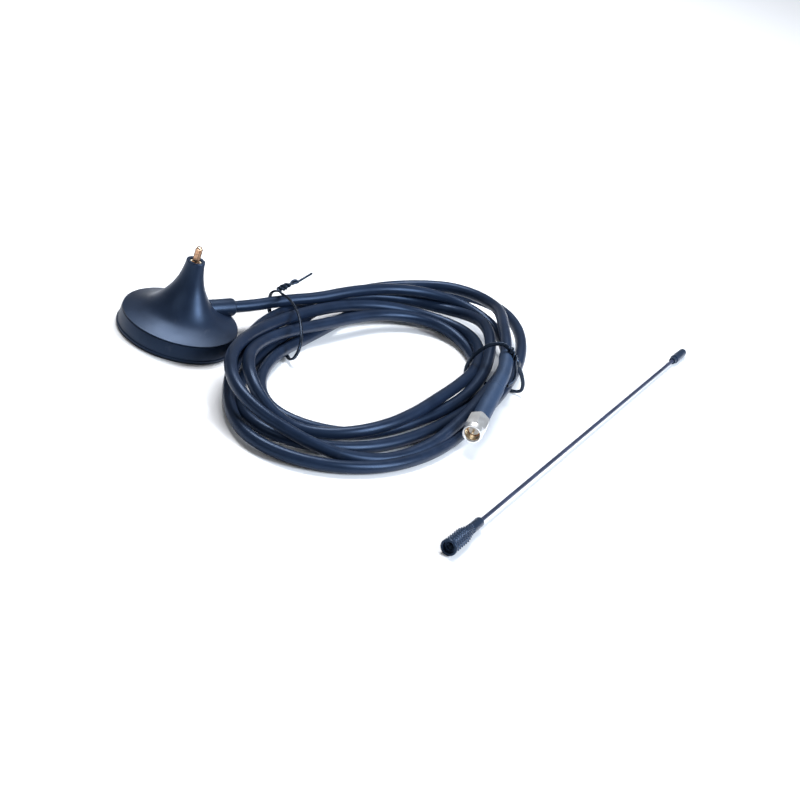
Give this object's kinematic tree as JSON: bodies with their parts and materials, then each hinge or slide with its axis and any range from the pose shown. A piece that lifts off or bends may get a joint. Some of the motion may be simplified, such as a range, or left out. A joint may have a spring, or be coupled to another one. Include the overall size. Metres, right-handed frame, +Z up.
{
  "type": "magnetic mount mobile antenna",
  "caption": "Magnetic-mount cellular antenna: flared black base with an M3 stud, coiled coaxial cable with a coax plug, and a separate knurled whip.",
  "frame": {"origin": "centre of the base's bottom face", "axes": "+Z up along the whip stud, +X to the right towards the coiled cable, +Y away from the viewer"},
  "size_m": [0.2372, 0.2448, 0.0392],
  "materials": {
    "shell_plastic": "satin moulded",
    "rubber": "matte",
    "ferrite": "matte",
    "zinc_steel": "zinc plated",
    "nickel": "nickel plated",
    "white_plastic": "satin",
    "brass": "machined",
    "copper": "bare",
    "cable_jacket": "satin",
    "tinned_braid": "tinned braid",
    "tinned_steel": "tinned",
    "tie_plastic": "satin",
    "spring_bronze": "bright",
    "gold_plate": "gold plated",
    "silicone": "matte",
    "ptfe": "satin",
    "heat_shrink": "matte",
    "whip_black": "black chrome plated",
    "whip_rod": "black plated"
  },
  "bodies": {
    "base_and_cable": {"base_shell": "shell_plastic", "foot_pad": "rubber", "ring_magnet": "ferrite", "steel_plate": "zinc_steel", "plate_screws": "zinc_steel", "stud_collar": "nickel", "stud_insulator": "white_plastic", "whip_stud": "brass", "contact_strip": "copper", "cable_bushing": "rubber", "entry_jacket": "cable_jacket", "entry_braid": "tinned_braid", "entry_dielectric": "white_plastic", "entry_conductor": "copper", "ground_clamp": "tinned_steel", "cable_lead": "cable_jacket", "cable_coil": "cable_jacket", "cable_tail": "cable_jacket", "left_tie": "tie_plastic", "right_tie": "tie_plastic", "snap_ring": "spring_bronze", "connector_body": "gold_plate", "plug_gasket": "silicone", "connector_dielectric": "ptfe", "center_pin": "gold_plate", "tail_dielectric": "white_plastic", "tail_braid": "tinned_braid", "crimp_ferrule": "nickel", "tail_jacket": "cable_jacket", "heatshrink_outer": "heat_shrink", "heatshrink_inner": "heat_shrink"},
    "nut": {"coupling_nut": "nickel"},
    "whip": {"whip_ferrule": "whip_black", "whip_rod": "whip_rod", "tip_collar": "whip_black", "whip_tip_cap": "whip_black"}
  },
  "joints": [
    {"name": "nut_spin", "type": "hinge", "parent": "base_and_cable", "child": "nut", "pos_m": [0.12467, -0.01109, 0.00952], "axis": [-0.1225, -0.9838, -0.1305], "continuous": true},
    {"name": "whip_lift", "type": "slide", "parent": "base_and_cable", "child": "whip", "axis": [0, 0, 1], "range_m": [0, 0.06]}
  ]
}
